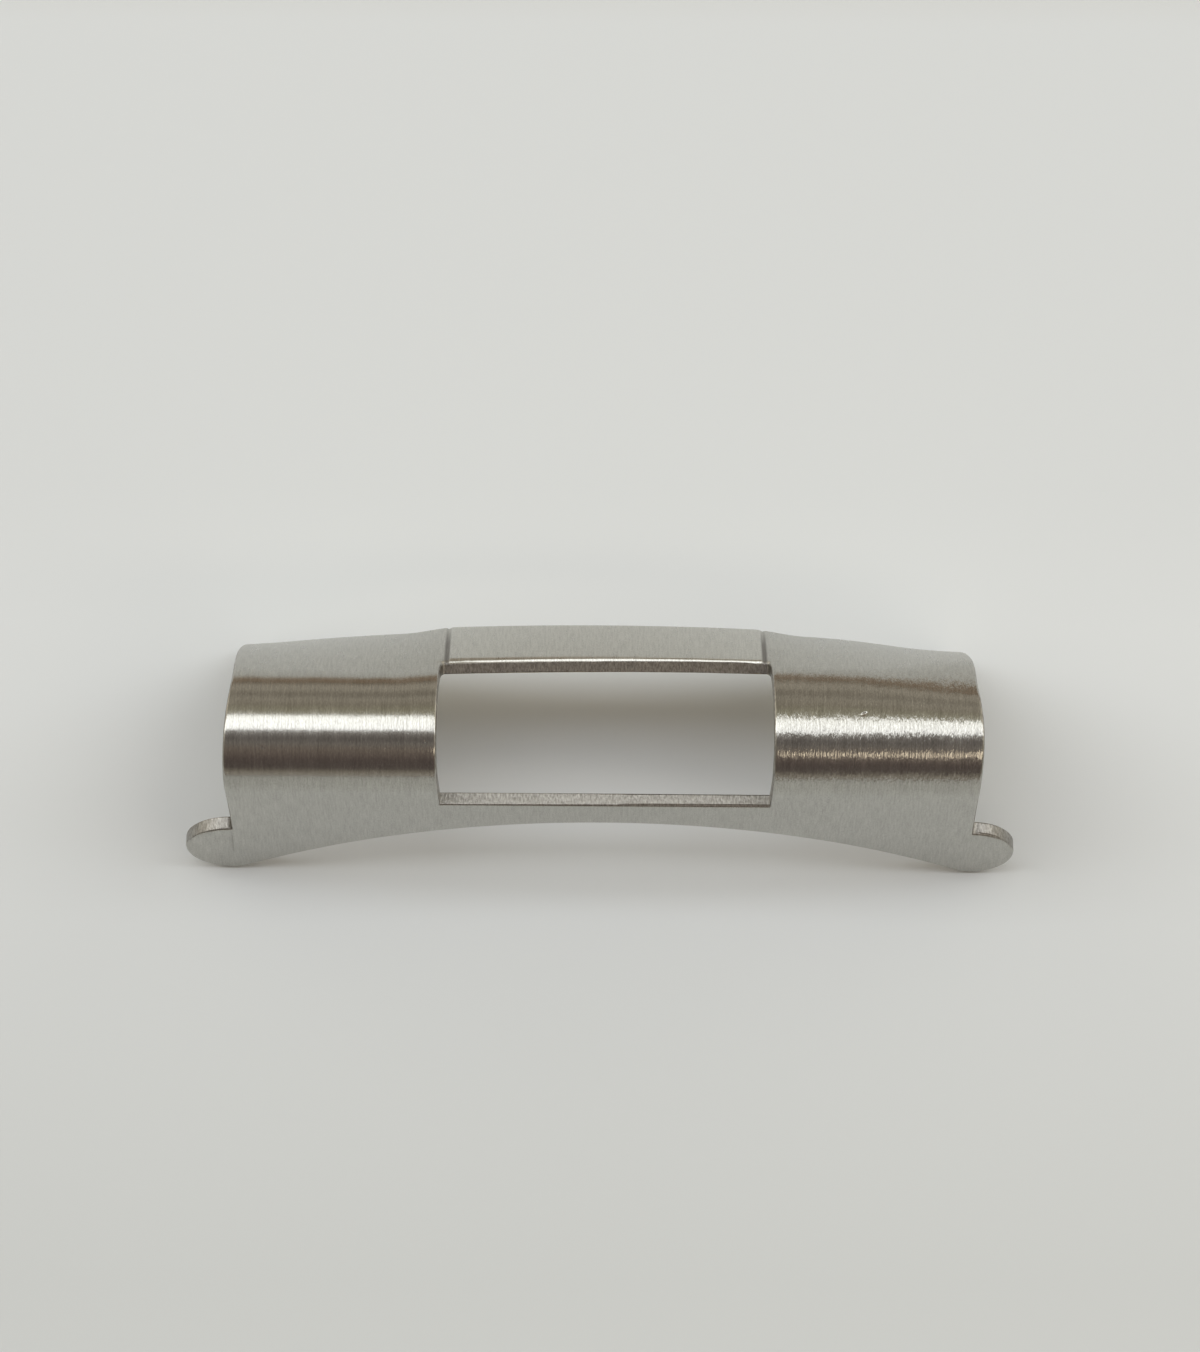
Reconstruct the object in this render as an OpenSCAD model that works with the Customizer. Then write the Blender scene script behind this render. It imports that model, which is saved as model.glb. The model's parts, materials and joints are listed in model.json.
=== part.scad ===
// Folded end link of a watch bracelet, millimetres.
// One strip of stainless sheet is pressed and folded round the spring bar. The top plate is worn upwards and the
// lower plate lies under it. Each node is one formed zone of that sheet, and the zones meet face to face.
// The frame: the origin lies on the spring bar's axis at mid width, X runs from lug to lug, Z runs away from the
// watch case towards the fold, and Y runs towards the worn side. The link stands on its case side edges.

/* [Fit to the watch] */
// Width between the lugs, which the link fills
lug_w = 20; // [18:0.1:22]
// Radius of the case band that the link closes against
case_r = 17.5; // [16:0.1:22]
// Distance from the spring bar's axis to the case at mid width
case_gap = 1.45; // [1.3:0.05:1.8]
// Radius of the fold's inner wall, which wraps the spring bar
seat_r = 1.26; // [1.1:0.02:1.4]

/* [Sheet] */
// Thickness of the sheet
sheet_t = 0.36; // [0.3:0.02:0.42]
// Angle by which the lower plate leans outwards from the fold, in degrees
lower_lean = 14; // [8:1:18]

/* [Top plate] */
// Height of the top plate's case edge over the spring bar's axis, on the side panels
edge_h = 3.3; // [3.1:0.02:3.6]
// How much higher the case edge stands at the lugs than that
edge_lift = 0.08; // [0:0.02:0.2]
// How much higher the centre panel's case edge stands
centre_rise = 0.16; // [0:0.02:0.2]
// Width over which the side panels fall away from the centre panel
shoulder_w = 1; // [0.6:0.1:1.4]

/* [Grooves] */
// Distance from each groove's middle in to the window's side, so that the grooves mark out the window's width
groove_inset = 0.215; // [0.15:0.005:0.4]
// Width of a groove at the surface
groove_w = 0.18; // [0.1:0.02:0.24]
// Depth of a groove
groove_d = 0.1; // [0.05:0.01:0.14]

/* [Window] */
// Width of the window in the fold
window_w = 8.85; // [7:0.05:10]
// Height of the window's edge on the top plate over the spring bar's axis
window_top = 2.16; // [2:0.02:2.4]
// Distance of the window's edge on the lower plate below the spring bar's axis, towards the case
window_low = 0.34; // [0:0.02:0.6]

/* [Ears] */
// Radius of the rounded ears that reach under the lugs
ear_r = 1.28; // [1:0.02:1.5]
// How far an ear reaches past the side of the link
ear_reach = 1.25; // [0.9:0.05:1.4]

/* [Smoothness] */
// Greatest distance between two sections of the curved plates
section_step = 0.42; // [0.3:0.02:1]
// Number of steps round each side panel's part of the fold
fold_steps = 5; // [3:1:8]

/* [Hidden] */
$fn = 96;
half_w = lug_w / 2;
window_x = window_w / 2;
groove_x = window_x - groove_inset;
fold_r = seat_r + sheet_t;
// Well past every face that a cut has to clear
beyond = 3 * fold_r;
// Height of the case's curved band, so of the link's case edges, at a distance x from mid width
function edge_z(x) = -case_gap - case_r + sqrt(case_r * case_r - x * x);
// Smooth step from 0 to 1
function ease(u) = let (c = min(max(u, 0), 1)) c * c * (3 - 2 * c);
// Height of the top plate's outer case edge: nearly level, with the centre panel standing a little higher
function edge_y(x) = edge_h + edge_lift * pow(x / half_w, 2)
    + centre_rise * (1 - ease((abs(x) - groove_x) / shoulder_w));
// Direction square to the top plate at x, in degrees from Y towards Z: the plate is the tangent from its case edge
// to the fold, so it twists from the middle to the lugs
function plate_a(x) = atan2(edge_z(x), edge_y(x)) + acos(fold_r / norm([edge_y(x), edge_z(x)]));
// Depth that the engraving takes from the outer face at x
function engraved(x) = groove_d * max(0, 1 - abs(abs(x) - groove_x) / (groove_w / 2));
// Section points [Y, Z], each at a depth under the outer face: on the fold at the angle a, on the case edge at x,
// and on the window's upper edge at x
function on_fold(a, depth) = (fold_r - depth) * [cos(a), sin(a)];
function on_case_edge(x, depth) = let (a = plate_a(x), z = edge_z(x)) [(fold_r - depth - z * sin(a)) / cos(a), z];
function on_window_edge(x, depth) = let (a = plate_a(x))
    [window_top, (fold_r - window_top * cos(a)) / sin(a)] - depth * [cos(a), sin(a)];
// Places of the sections from x0 to x1
function places(x0, x1) = let (n = ceil((x1 - x0) / section_step)) [for (i = [0:n]) x0 + (x1 - x0) * i / n];
// Where the side panels end on the fold: past the steepest tangent beside the window
panel_end_a = plate_a(window_x) + 5;
// Where the fold runs out into the lower plate
lower_a = 180 - lower_lean;
// Height at which the link stands, and the same on the lower plate's own flat frame
floor_z = edge_z(half_w);
ear_low = (floor_z - seat_r * sin(lower_lean)) / cos(lower_lean);
ear_x = half_w + ear_reach - ear_r;
ear_in = ear_x - ear_r;
ear_top = ear_low + 2 * ear_r;
window_low_v = (-window_low - fold_r * sin(lower_lean)) / cos(lower_lean);

// A solid through sections that have the same number of points, with sections[i] standing at xs[i]
module through_sections(xs, sections) {
    n = len(sections[0]);
    last = len(xs) - 1;
    polyhedron(
        points = [for (i = [0:last]) for (p = sections[i]) [xs[i], p[0], p[1]]],
        faces = concat(
            [for (i = [0:last - 1]) for (j = [0:n - 1]) [i * n + j, (i + 1) * n + j, (i + 1) * n + (j + 1) % n]],
            [for (i = [0:last - 1]) for (j = [0:n - 1]) [i * n + j, (i + 1) * n + (j + 1) % n, i * n + (j + 1) % n]],
            [[for (j = [0:n - 1]) j]],
            [[for (j = [n - 1:-1:0]) last * n + j]]
        ),
        convexity = 4
    );
}

// The top plate from its case edge to the window, over the places in xs
module plate_to_window(xs) {
    through_sections(xs, [for (x = xs) [
        on_case_edge(x, engraved(x)),
        on_window_edge(x, engraved(x)),
        on_window_edge(x, sheet_t),
        on_case_edge(x, sheet_t)
    ]]);
}

// The top plate from its case edge on to the fold, over the places in xs
module plate_to_fold(xs) {
    turn = [for (i = [0:fold_steps]) i / fold_steps];
    through_sections(xs, [for (x = xs) concat(
        [on_case_edge(x, 0)],
        [for (u = turn) on_fold(plate_a(x) + u * (panel_end_a - plate_a(x)), 0)],
        [for (u = turn) on_fold(panel_end_a + u * (plate_a(x) - panel_end_a), sheet_t)],
        [on_case_edge(x, sheet_t)]
    )]);
}

module side_panel() {
    groove_side = groove_x + groove_w / 2;
    color("lightgray") {
        plate_to_window([groove_x, groove_side, window_x]);
        plate_to_fold(places(window_x, half_w));
    }
}

// The fold's exact round wall beside the window, from the top plate to the lower plate
module fold() {
    span = lower_a - panel_end_a;
    color("silver")
    translate([window_x, 0, 0])
    rotate([90, 0, 90])
    linear_extrude(half_w - window_x)
    intersection() {
        difference() {
            circle(r = fold_r);
            circle(r = seat_r);
        }
        polygon(concat([[0, 0]], [for (i = [0:4]) beyond * [cos(panel_end_a + span * i / 4), sin(panel_end_a + span * i / 4)]]));
    }
}

// Lays an outline, drawn with X along the link and Y along the lower plate from the fold, into the lower plate
module in_lower_plate() {
    rotate([90 - lower_lean, 0, 0])
    translate([0, 0, seat_r])
    linear_extrude(sheet_t)
    children();
}

// The round case, which trims the lower plate
module case_band() {
    translate([0, 0, -case_gap - case_r])
    rotate([90, 0, 0])
    cylinder(r = case_r, h = 4 * beyond, center = true, $fn = 240);
}

module ear_zone() {
    translate([ear_in, ear_low])
    square([half_w - ear_in, ear_top - ear_low]);
}

module centre_panel() {
    flat_x = groove_x - groove_w / 2;
    color("gainsboro")
    plate_to_window(concat([-groove_x], places(-flat_x, flat_x), [groove_x]));
}

module left_side_panel() {
    mirror([1, 0, 0]) side_panel();
}

module right_side_panel() {
    side_panel();
}

module left_fold() {
    mirror([1, 0, 0]) fold();
}

module right_fold() {
    fold();
}

module lower_plate() {
    color("darkgray")
    difference() {
        in_lower_plate()
        difference() {
            translate([-half_w, ear_low])
            square([lug_w, -ear_low]);
            translate([-window_x, window_low_v])
            square([window_w, beyond]);
            for (side = [0, 1]) mirror([side, 0]) {
                ear_zone();
                translate([ear_in, ear_low - beyond])
                square([beyond, beyond]);
            }
        }
        case_band();
    }
}

module ear() {
    color("darkgray")
    difference() {
        in_lower_plate()
        union() {
            translate([ear_x, ear_low + ear_r])
            circle(r = ear_r);
            ear_zone();
        }
        case_band();
    }
}

module left_ear() {
    mirror([1, 0, 0]) ear();
}

module right_ear() {
    ear();
}

centre_panel();
left_side_panel();
right_side_panel();
left_fold();
right_fold();
lower_plate();
left_ear();
right_ear();
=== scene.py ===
"""Folded end link of a watch bracelet: one strip of stainless sheet, pressed, folded, punched and brushed.

The link is one piece of sheet, so it is one continuous shell here. Its shape is a function of three
numbers: the place x across the link, the length s along the strip from the top plate's case edge round the
fold to the lower plate's case edge, and the depth under the sheet's outer face. All sizes are millimetres
until the mesh is made.
"""
import json
import logging
import math
from dataclasses import dataclass
from enum import Enum
from typing import Any

import bpy
import numpy as np
from mathutils import Matrix, Vector


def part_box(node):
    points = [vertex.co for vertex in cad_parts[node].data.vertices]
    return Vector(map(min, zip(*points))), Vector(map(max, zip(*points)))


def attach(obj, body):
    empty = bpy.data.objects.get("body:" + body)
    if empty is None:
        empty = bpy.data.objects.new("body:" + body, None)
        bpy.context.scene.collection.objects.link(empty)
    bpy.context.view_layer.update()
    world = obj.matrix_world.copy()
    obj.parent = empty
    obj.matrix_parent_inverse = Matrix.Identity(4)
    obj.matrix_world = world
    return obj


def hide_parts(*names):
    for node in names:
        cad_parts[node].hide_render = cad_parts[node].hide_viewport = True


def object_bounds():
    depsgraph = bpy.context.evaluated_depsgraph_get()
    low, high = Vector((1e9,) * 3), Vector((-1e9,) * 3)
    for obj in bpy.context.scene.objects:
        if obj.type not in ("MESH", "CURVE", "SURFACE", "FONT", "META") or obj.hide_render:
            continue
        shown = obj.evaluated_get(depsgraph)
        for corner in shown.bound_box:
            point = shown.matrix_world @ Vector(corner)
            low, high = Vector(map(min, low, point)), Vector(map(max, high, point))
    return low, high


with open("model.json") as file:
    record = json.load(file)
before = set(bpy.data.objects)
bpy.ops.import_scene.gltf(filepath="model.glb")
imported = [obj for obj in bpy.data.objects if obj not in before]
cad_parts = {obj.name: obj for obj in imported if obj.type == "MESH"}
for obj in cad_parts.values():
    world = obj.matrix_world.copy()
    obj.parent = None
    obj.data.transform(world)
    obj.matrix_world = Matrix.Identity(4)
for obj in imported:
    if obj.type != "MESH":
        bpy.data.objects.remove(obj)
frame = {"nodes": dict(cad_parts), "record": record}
CAD_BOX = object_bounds()

LOG = logging.getLogger("end_link")
MM = 0.001
# Room for rounding errors where a point lies on a line of the pattern, in millimetres
TINY = 1e-6
# Steps of a grid over a rounded edge
ROUND_STEPS = 6
Array = np.ndarray
Pair = tuple[float, float]
Tones = tuple[tuple[float, str], ...]
Owner = bpy.types.Material | bpy.types.World
Source = bpy.types.Node | bpy.types.NodeSocket


class Face(Enum):
    """The finishes that one strip of sheet shows, by material slot."""

    SHEET = 0
    CUT = 1
    INNER = 2


def linear(hex_colour: str) -> tuple[float, float, float, float]:
    """Turns an sRGB hex colour into the linear colour that the shaders take.

    Args:
        hex_colour: Six hex digits, as in "9a9892".

    Returns:
        Linear red, green, blue and an alpha of 1.
    """
    channels = [int(hex_colour[i : i + 2], 16) / 255 for i in (0, 2, 4)]
    curve = [c / 12.92 if c <= 0.04045 else ((c + 0.055) / 1.055) ** 2.4 for c in channels]
    return (curve[0], curve[1], curve[2], 1.0)


def ease(u: Array) -> Array:
    """Smooth step: 0 below u = 0, 1 above u = 1, and 3u^2 - 2u^3 between."""
    c = np.clip(u, 0.0, 1.0)
    return c * c * (3.0 - 2.0 * c)


def bell(u: Array) -> Array:
    """Bell curve exp(-u^2), which is 1 at u = 0."""
    return np.exp(-(u**2))


def rounded_off(distance: Array, length: float, height: float) -> Array:
    """How far a rounded edge falls away: a quarter of an ellipse, h (1 - sqrt(1 - u^2)).

    Args:
        distance: Distance from the edge.
        length: Length of the rounding, over which u falls from 1 at the edge to 0.
        height: Height h of the rounding.

    Returns:
        The fall, which is 0 beyond the rounding.
    """
    u = np.clip(1.0 - distance / length, 0.0, 1.0)
    return height * (1.0 - np.sqrt(1.0 - u**2))


def spread(length: Array, count: int, close: float, start: bool = True, end: bool = True) -> Array:
    """Places along lengths, closer together by a rounded edge at either end.

    The places at an end follow the quarter circle of the rounding, r (1 - cos a) with a in even steps, and
    those between are even.

    Args:
        length: One length for each column of the grid.
        count: Number of even steps in the middle.
        close: Width of the close-set end, which is the radius of the rounding there.
        start: Whether the first end is close-set.
        end: Whether the last end is close-set.

    Returns:
        An array with a row for each column and the places, from 0 to its length, along it.
    """
    span = np.atleast_1d(np.asarray(length, float))[:, None]
    quarter = close * (1.0 - np.cos(np.radians(np.linspace(0.0, 90.0, ROUND_STEPS + 1))))[:-1]
    first = close if start else 0.0
    last = close if end else 0.0
    parts = [first + (span - first - last) * np.linspace(0.0, 1.0, count + 1)[None, :]]
    if start:
        parts.insert(0, quarter[None, :] + 0.0 * span)
    if end:
        parts.append(span - quarter[None, ::-1])
    return np.concatenate(parts, axis=1)


def cells(rows: int, columns: int) -> Array:
    """Numbers of the four corners of each cell of a grid whose points are counted row by row."""
    number = np.arange(rows * columns).reshape(rows, columns)
    return np.stack([number[:-1, :-1], number[1:, :-1], number[1:, 1:], number[:-1, 1:]], axis=-1)


def boundary(quads: Array) -> Array:
    """The boundary of a pattern: the edges that only one quad uses.

    Args:
        quads: Four point numbers a quad, where a repeated number makes a triangle.

    Returns:
        The two ends of each edge, in the direction of its quad.
    """
    edges = np.stack([quads, np.roll(quads, -1, axis=1)], axis=-1).reshape(-1, 2)
    edges = edges[edges[:, 0] != edges[:, 1]]
    _, first, uses = np.unique(np.sort(edges, axis=1), axis=0, return_index=True, return_counts=True)
    return edges[first[uses == 1]]


@dataclass(frozen=True)
class Arc:
    """One arc of the roll at places x: its last angle in radians from +Y, its radius and its centre."""

    end: float
    radius: Array
    y: Array
    z: Array


@dataclass(frozen=True)
class FoldedStrip:
    """The shape of the folded strip, in millimetres, with angles in degrees.

    The profile at a place x is a faintly crowned top plate from the case edge, three arcs that roll round
    the spring bar, and a straight lower plate back to the case edge. The first arc is the crease where the
    brushed plate ends, the second is a flatter one, and the third is round the bar's axis. A pair of sizes
    is for the left and for the right side.
    """

    half_w: float
    fold_r: float
    sheet_t: float
    case_gap: float
    ear_reach: float
    case_r: float = 17.5
    lower_lean: float = 14.0
    # Top plate: the height of its case edge, the lift at the lugs, the droop at the right, the centre
    # panel's rise with the shoulder beside it, the fall at both ends, and the crown's radius
    edge_h: float = 3.3
    edge_lift: float = 0.1
    edge_droop: float = 0.13
    droop_from: float = 5.8
    droop_w: float = 4.0
    centre_rise: float = 0.13
    shoulder_w: float = 1.5
    shoulder_in: float = 0.3
    end_w: float = 0.16
    end_fall: float = 0.1
    plate_r: float = 14.0
    # Roll: the radius of the crease and of the flatter arc, and the angles at which they end
    crease_r: float = 2.2
    crease_a: float = 50.0
    flat_r: float = 1.98
    flat_a: float = 88.0
    # What the flatter arc gains beside the window and over which length, how far past the right side that
    # starts, and the width of the blend between left and right
    flat_gain: Pair = (0.17, 0.34)
    gain_len: Pair = (1.2, 6.0)
    gain_over: float = 0.5
    gain_mid_w: float = 6.0
    # The roll's unevenness: sine waves by height, radians to the millimetre, and phase
    waver: tuple[tuple[float, float, float], ...] = ((0.012, 3.1, 0.0), (0.009, 7.3, 1.0))
    # Right-hand end of the roll, where the crease is looser and the flatter arc is tighter
    right_end_from: float = 6.8
    right_end_w: float = 3.0
    crease_gain: float = 2.2
    flat_loss: float = 0.3
    # Window: half its width, its middle, its upper and lower edges, and the shape of its corners and walls
    window_x: float = 4.4
    window_shift: float = 0.06
    window_top: float = 2.115
    window_bow: float = -0.07
    window_tilt: float = 0.0074
    window_low: float = 0.34
    window_corner: float = 0.09
    window_corner_len: float = 0.4
    window_belly: float = 0.07
    # Slant that punching gave the window's upper edge and the ears' upper edges
    punch_slant: float = 0.05
    punch_len: float = 0.25
    ear_slant: float = 0.06
    ear_slant_len: float = 0.4
    slant_fade: float = 0.1
    # Grooves: the share of the depth that is left at the case edge comes last
    groove_x: float = 4.25
    groove_w: float = 0.18
    groove_d: float = 0.055
    groove_start: float = 0.55
    # Ears: the width of their blend into the case's arc, and the share of the radius, inwards from an ear's
    # middle, over which its disc trims the lower plate
    ear_r: float = 1.28
    ear_shift: float = 0.065
    ear_blend: float = 0.1
    ear_inner: float = 0.6
    # Sides: a corner and a taper at the case edge, a waist by the crease, which eases in over its own length
    # on the plate, and a belly by the roll's end
    corner_w: float = 0.14
    corner_len: float = 0.36
    taper: Pair = (0.25, 0.36)
    taper_len: float = 5.0
    taper_power: float = 1.5
    waist: Pair = (0.128, 0.06)
    waist_at: Pair = (-0.5, -0.7)
    waist_rise: float = 2.6
    waist_len: Pair = (1.25, 1.05)
    belly: Pair = (0.065, 0.085)
    belly_at: Pair = (-0.9, -1.9)
    belly_len: Pair = (1.6, 1.4)
    # Edges: the roundings, and the bevel on the window's upper edge by its width, slope and softness. Its
    # formula and its brushed finish reach so many times its width from the edge
    outer_round: float = 0.07
    inner_round: float = 0.03
    burr: float = 0.046
    burr_slope: float = 1.45
    burr_soft: float = 0.012
    burr_held: float = 3.0
    burr_brushed: float = 2.0

    @classmethod
    def from_frame(cls) -> "FoldedStrip":
        """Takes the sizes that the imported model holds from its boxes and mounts.

        Returns:
            The strip.
        """
        mounts = {m["name"]: m for m in frame["record"]["mounts"]}
        fold_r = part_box("right_fold")[1].z / MM
        half_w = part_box("right_side_panel")[1].x / MM
        return cls(
            half_w=half_w,
            fold_r=fold_r,
            sheet_t=fold_r - mounts["spring_bar_seat"]["dims"]["r_mm"],
            case_gap=-mounts["case_arc_edge"]["pos_m"][2] / MM,
            ear_reach=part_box("right_ear")[1].x / MM - half_w,
        )

    def right_end(self, x: Array) -> Array:
        """Share by which a place belongs to the right-hand end of the roll, from 0 to 1."""
        return ease((x - self.right_end_from) / self.right_end_w)

    def flat_radius(self, x: Array) -> Array:
        """Radius of the flatter arc.

        Smooth steps let it grow close to the window on the left and over the whole panel on the right, and
        the two blend across the middle. Sine waves make it waver, and the right-hand end is tighter.

        Args:
            x: Places across the link.

        Returns:
            The radii.
        """
        left = self.flat_gain[0] * ease(1.0 + (x + self.window_x) / self.gain_len[0])
        right = self.flat_gain[1] * ease((self.half_w + self.gain_over - x) / self.gain_len[1])
        share = ease(0.5 + x / self.gain_mid_w)
        gain = (1.0 - share) * left + share * right
        waver = sum(height * np.sin(turn * x + phase) for height, turn, phase in self.waver)
        return self.flat_r + gain + waver - self.flat_loss * self.right_end(x)

    def arcs(self, x: Array) -> tuple[Arc, Arc, Arc]:
        """The roll's three arcs: the crease, the flatter one and the round one.

        Where two arcs meet they share the direction, so a centre is the next one's, moved along it by the
        difference of the radii.

        Args:
            x: Places across the link.

        Returns:
            The arcs, from the top plate on.
        """
        crease_end, flat_end, roll_end = np.radians([self.crease_a, self.flat_a, 180.0 - self.lower_lean])
        flat_r = self.flat_radius(x)
        crease_r = self.crease_r + self.crease_gain * self.right_end(x)
        flat_y = (self.fold_r - flat_r) * np.cos(flat_end)
        flat_z = (self.fold_r - flat_r) * np.sin(flat_end)
        crease_y = flat_y + (flat_r - crease_r) * np.cos(crease_end)
        crease_z = flat_z + (flat_r - crease_r) * np.sin(crease_end)
        axis = 0.0 * x
        return (
            Arc(crease_end, crease_r, crease_y, crease_z),
            Arc(flat_end, flat_r, flat_y, flat_z),
            Arc(roll_end, self.fold_r + axis, axis, axis),
        )

    def edge_z(self, x: Array) -> Array:
        """Height of the case edges: the case is a cylinder along Y, so z = -gap - R + sqrt(R^2 - x^2)."""
        held = np.minimum(np.abs(x), self.half_w)
        return -self.case_gap - self.case_r + np.sqrt(self.case_r**2 - held**2)

    def edge_y(self, x: Array) -> Array:
        """Height of the top plate's case edge, which is nearly level.

        It is lifted towards the lugs by the square of the distance, stands proud on the centre panel, droops
        by a smooth step at the right, and falls away at both ends by a quarter of an ellipse.

        Args:
            x: Places across the link.

        Returns:
            The heights.
        """
        held = np.minimum(np.abs(x), self.half_w)
        lift = self.edge_lift * (held / self.half_w) ** 2
        beside = ease((held - self.groove_x + self.shoulder_in) / self.shoulder_w)
        droop = self.edge_droop * ease((x - self.droop_from) / self.droop_w)
        fall = rounded_off(self.half_w - held, self.end_w, self.end_fall)
        return self.edge_h + lift + self.centre_rise * (1.0 - beside) - droop - fall

    def plate_a(self, x: Array) -> Array:
        """Direction square to the top plate where it meets the crease, in radians from +Y.

        The plate is an arc of radius R that passes through its case edge and touches the crease of radius r.
        With e as the way from the crease's centre to the case edge, and n as the direction,
        e . n = (R^2 - (R - r)^2 - e^2) / 2 (R - r).

        Args:
            x: Places across the link.

        Returns:
            The angles.
        """
        crease = self.arcs(x)[0]
        y, z = self.edge_y(x) - crease.y, self.edge_z(x) - crease.z
        gap = self.plate_r - crease.radius
        reach = np.hypot(y, z)
        along = (self.plate_r**2 - gap**2 - reach**2) / (2.0 * gap)
        return np.arctan2(z, y) + np.arccos(along / reach)

    def crown(self, x: Array, depth: Array | float = 0.0) -> tuple[Array, Array, Array]:
        """The top plate's arc, whose centre lies behind the crease's by the difference of the radii.

        Args:
            x: Places across the link.
            depth: Depth under the outer face.

        Returns:
            The centre's Y and Z, and the angle at the case edge on the face at that depth.
        """
        crease, angle = self.arcs(x)[0], self.plate_a(x)
        plate_y = crease.y + (crease.radius - self.plate_r) * np.cos(angle)
        plate_z = crease.z + (crease.radius - self.plate_r) * np.sin(angle)
        return plate_y, plate_z, np.arcsin((self.edge_z(x) - plate_z) / (self.plate_r - depth))

    def marks(self, x: Array) -> dict[str, Array]:
        """Lengths along the outer face at which the profile changes.

        They are a sum of radius times angle over the arcs, and of straight lengths on the lower plate.

        Args:
            x: Places across the link.

        Returns:
            For each place, the length from the top plate's case edge to the window's upper edge, the roll's
            start, the ends of its three arcs, the window's lower edge, the ears' notch and the lower
            plate's case edge.
        """
        angle = self.plate_a(x)
        plate_y, _, edge_a = self.crown(x)
        crease, flat, roll = self.arcs(x)
        plate_s = self.plate_r * (angle - edge_a)
        held = np.clip(x, -self.window_x, self.window_x)
        top = self.window_top + self.window_bow * (held / self.window_x) ** 2 + self.window_tilt * held
        on_plate = self.plate_r * (np.arccos((top - plate_y) / self.plate_r) - edge_a)
        crease_turn = np.arccos(np.minimum((top - crease.y) / crease.radius, 1.0)) - angle
        above_crease = top > crease.y + crease.radius * np.cos(angle)
        crease_s = plate_s + crease.radius * (crease.end - angle)
        flat_s = crease_s + flat.radius * (flat.end - crease.end)
        roll_s = flat_s + roll.radius * (roll.end - flat.end)
        low_s = roll_s + self.arc_v(-self.window_low)
        case_s = roll_s + self.foot_v(x)
        return {
            "window": np.where(above_crease, on_plate, plate_s + crease.radius * crease_turn),
            "plate": plate_s,
            "crease": crease_s,
            "flat": flat_s,
            "roll": roll_s,
            "low": low_s,
            "notch": low_s + (case_s - low_s) * self.notch_share(),
            "case": case_s,
        }

    def arc_v(self, z: Array, depth: Array | float = 0.0) -> Array:
        """Distance down the lower plate from the roll's end to a height z, on the face at a depth."""
        lean = math.radians(self.lower_lean)
        return ((self.fold_r - depth) * math.sin(lean) - z) / math.cos(lean)

    def ear_v(self) -> float:
        """Distance down the lower plate to the ears' middle: an ear's inner face stands on the floor."""
        floor = float(self.edge_z(np.array(self.half_w)))
        return float(self.arc_v(floor, self.sheet_t)) - self.ear_r

    def foot_v(self, x: Array, depth: Array | float = 0.0) -> Array:
        """Distance down the lower plate to its lower edge: the case's arc, cut off by the ears' discs.

        The two are joined as the smooth least of both, least - h^2 / 4k with h = max(k - |difference|, 0).

        Args:
            x: Places across the link.
            depth: Depth under the outer face.

        Returns:
            The distances.
        """
        middle = self.half_w + self.ear_reach - self.ear_r
        aside = np.minimum(np.abs(x), self.half_w) - middle
        disc = self.ear_v() + np.sqrt(np.maximum(self.ear_r**2 - aside**2, 0.0))
        arc = self.arc_v(self.edge_z(x), depth)
        by_ear = aside > -self.ear_inner * self.ear_r
        within = np.where(by_ear, np.maximum(self.ear_blend - np.abs(disc - arc), 0.0), 0.0)
        least = np.where(by_ear, np.minimum(disc, arc), arc)
        return least - within**2 / (4.0 * self.ear_blend)

    def notch_share(self) -> float:
        """Share of the lower plate at which the ears' notch lies on the side.

        Returns:
            The share, from 0 at the height of the window's lower edge to 1 at the case edge.
        """
        foot = float(self.foot_v(np.array(self.half_w)))
        low = float(self.arc_v(-self.window_low))
        return (self.ear_v() - self.ear_r - low) / (foot - low)

    def window_wall(self, s: Array, mark: dict[str, Array]) -> Array:
        """Distance of the window's side wall from its middle.

        Half a sine wave from the upper to the lower edge bellies it out, and a quarter of an ellipse draws
        in its upper corner. Above the window it goes straight on.

        Args:
            s: Lengths along the strip.
            mark: The profile's marks at those places.

        Returns:
            The distances.
        """
        share = np.clip((s - mark["window"]) / (mark["low"] - mark["window"]), 0.0, 1.0)
        corner = rounded_off(s - mark["window"], self.window_corner_len, self.window_corner)
        return self.window_x + self.window_belly * np.sin(np.pi * share) - corner

    def side_wall(self, x: Array, s: Array, mark: dict[str, Array]) -> Array:
        """How far the sides stand in from the half width: a corner, a taper, a waist and a belly.

        The corner is a quarter of an ellipse, the taper is t (1 - s / length)^power, and waist and belly are
        bell curves.

        Args:
            x: Places across the link, of which only the sign counts.
            s: Lengths along the strip.
            mark: The profile's marks at those places.

        Returns:
            The distances, which are negative where the side stands out.
        """
        pairs = (
            self.taper, self.waist, self.waist_at, self.waist_len,
            self.belly, self.belly_at, self.belly_len,
        )
        taper, waist, waist_at, waist_len, belly, belly_at, belly_len = (
            np.where(x < 0.0, left, right) for left, right in pairs
        )
        slant = taper * np.clip(1.0 - s / self.taper_len, 0.0, 1.0) ** self.taper_power
        below = s - mark["crease"] - waist_at
        drawn_in = waist * bell(below / np.where(below < 0.0, self.waist_rise, waist_len))
        pushed_out = belly * bell((s - mark["roll"] - belly_at) / belly_len)
        return rounded_off(s, self.corner_len, self.corner_w) + slant + drawn_in - pushed_out

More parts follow.
